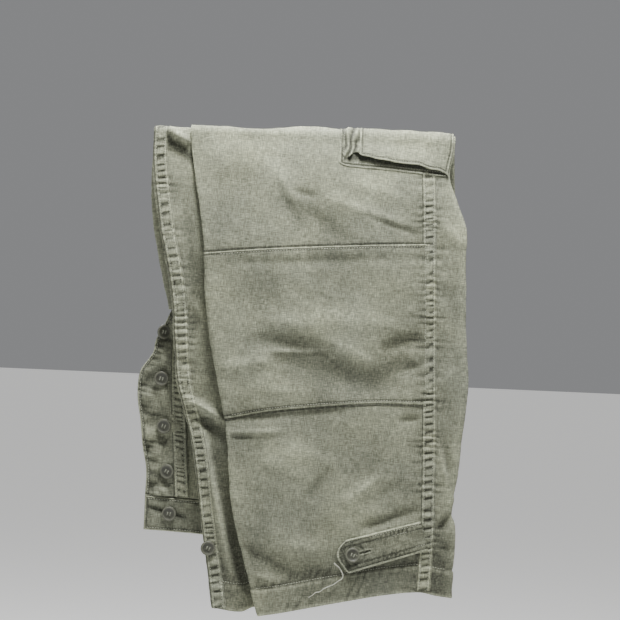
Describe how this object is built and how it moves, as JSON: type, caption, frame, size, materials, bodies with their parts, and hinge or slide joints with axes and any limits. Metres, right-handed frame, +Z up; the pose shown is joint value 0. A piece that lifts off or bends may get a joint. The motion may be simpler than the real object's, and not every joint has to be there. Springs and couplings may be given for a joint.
{
  "type": "folded work trousers",
  "caption": "Cotton work trousers with button fly, knee patches, cargo pockets and hem tabs, hanging folded over a hanger bar.",
  "frame": {"origin": "where the cloth rests on top of the hanger bar, at the middle of the fold's facet that lies level", "axes": "+X along the bar towards the back creases of the legs, -Y to the front drape with the lower legs, +Z up"},
  "size_m": [0.3647, 0.0819, 0.5405],
  "materials": {
    "olive_sateen": "washed cotton sateen, faded olive green, lighter on worn seam edges",
    "lining_cotton": "thin plain-weave cotton pocketing",
    "button_plastic": "dull dark olive, worn at the rim"
  },
  "bodies": {
    "hips": {"left_front_panel_upper": "olive_sateen", "left_back_panel_upper": "olive_sateen", "left_hip_pocket_bag": "lining_cotton", "left_back_pocket": "olive_sateen", "left_waistband": "olive_sateen", "left_cargo_button_1": "button_plastic", "left_cargo_button_2": "button_plastic", "left_leg_fold_over": "olive_sateen", "left_cargo_pocket_fold": "olive_sateen", "left_cargo_gusset_upper": "olive_sateen", "left_cargo_pocket_upper": "olive_sateen", "left_belt_loop_1": "olive_sateen", "left_belt_loop_2": "olive_sateen", "left_belt_loop_3": "olive_sateen", "right_front_panel_upper": "olive_sateen", "right_back_panel_upper": "olive_sateen", "right_hip_pocket_bag": "lining_cotton", "right_back_pocket": "olive_sateen", "right_waistband": "olive_sateen", "right_cargo_button_1": "button_plastic", "right_cargo_button_2": "button_plastic", "right_leg_bar_seat": "olive_sateen", "right_leg_fold_over": "olive_sateen", "right_cargo_pocket_fold": "olive_sateen", "right_cargo_pocket_upper": "olive_sateen", "right_belt_loop_1": "olive_sateen", "right_belt_loop_2": "olive_sateen", "right_belt_loop_3": "olive_sateen", "waistband_button": "button_plastic"},
    "left_leg": {"left_front_panel_lower": "olive_sateen", "left_back_panel_lower": "olive_sateen", "left_knee_patch": "olive_sateen", "left_hem_tab_button": "button_plastic", "left_hem_spare_button": "button_plastic", "left_cargo_gusset_lower": "olive_sateen", "left_cargo_pocket_lower": "olive_sateen"},
    "right_leg": {"right_front_panel_lower": "olive_sateen", "right_back_panel_lower": "olive_sateen", "right_knee_patch": "olive_sateen", "right_hem_tab_button": "button_plastic", "right_hem_spare_button": "button_plastic", "right_cargo_pocket_lower": "olive_sateen"},
    "left_tab": {"left_hem_tab": "olive_sateen"},
    "right_tab": {"right_hem_tab": "olive_sateen"},
    "left_flap": {"left_cargo_flap": "olive_sateen"},
    "right_flap": {"right_cargo_flap": "olive_sateen"},
    "button_stand": {"fly_button_stand": "olive_sateen", "fly_button_1": "button_plastic", "fly_button_2": "button_plastic", "fly_button_3": "button_plastic", "fly_button_4": "button_plastic"},
    "buttonhole_strip": {"fly_buttonhole_strip": "olive_sateen"}
  },
  "joints": [
    {"name": "left_leg_lift", "type": "hinge", "parent": "hips", "child": "left_leg", "pos_m": [0, 0, -0.00332], "axis": [-1, 0, 0], "range_deg": [0, 90], "deforming": ["left_leg_fold_over", "left_cargo_pocket_fold"]},
    {"name": "right_leg_lift", "type": "hinge", "parent": "hips", "child": "right_leg", "pos_m": [0, 0, -0.00332], "axis": [-1, 0, 0], "range_deg": [0, 45], "deforming": ["right_leg_fold_over", "right_cargo_pocket_fold"]},
    {"name": "left_hem_tab_swing", "type": "hinge", "parent": "left_leg", "child": "left_tab", "pos_m": [0.1488, -0.03575, -0.4353], "axis": [0, 0, 1], "range_deg": [0, 150]},
    {"name": "right_hem_tab_swing", "type": "hinge", "parent": "right_leg", "child": "right_tab", "pos_m": [0.1027, -0.00725, -0.4353], "axis": [0, 0, -1], "range_deg": [0, 7]},
    {"name": "left_cargo_flap_lift", "type": "hinge", "parent": "hips", "child": "left_flap", "pos_m": [0.099, 0.03835, -0.19532], "axis": [-1, 0, 0], "range_deg": [0, 150], "stiffness_Nm_per_rad": 0.02},
    {"name": "right_cargo_flap_lift", "type": "hinge", "parent": "hips", "child": "right_flap", "pos_m": [0.061, 0.00595, -0.19532], "axis": [1, 0, 0], "range_deg": [0, 8], "stiffness_Nm_per_rad": 0.02},
    {"name": "button_stand_swing", "type": "hinge", "parent": "hips", "child": "button_stand", "pos_m": [-0.1275, 0.0081, -0.40732], "axis": [-0.0778, 0, 0.997], "range_deg": [0, 60]},
    {"name": "buttonhole_strip_swing", "type": "hinge", "parent": "hips", "child": "buttonhole_strip", "pos_m": [-0.113, 0.03135, -0.3073], "axis": [0, 0, 1], "range_deg": [0, 15]}
  ],
  "couplings": [
    {"joint": "right_leg_lift", "follows": "left_leg_lift", "ratio": 0.5}
  ]
}
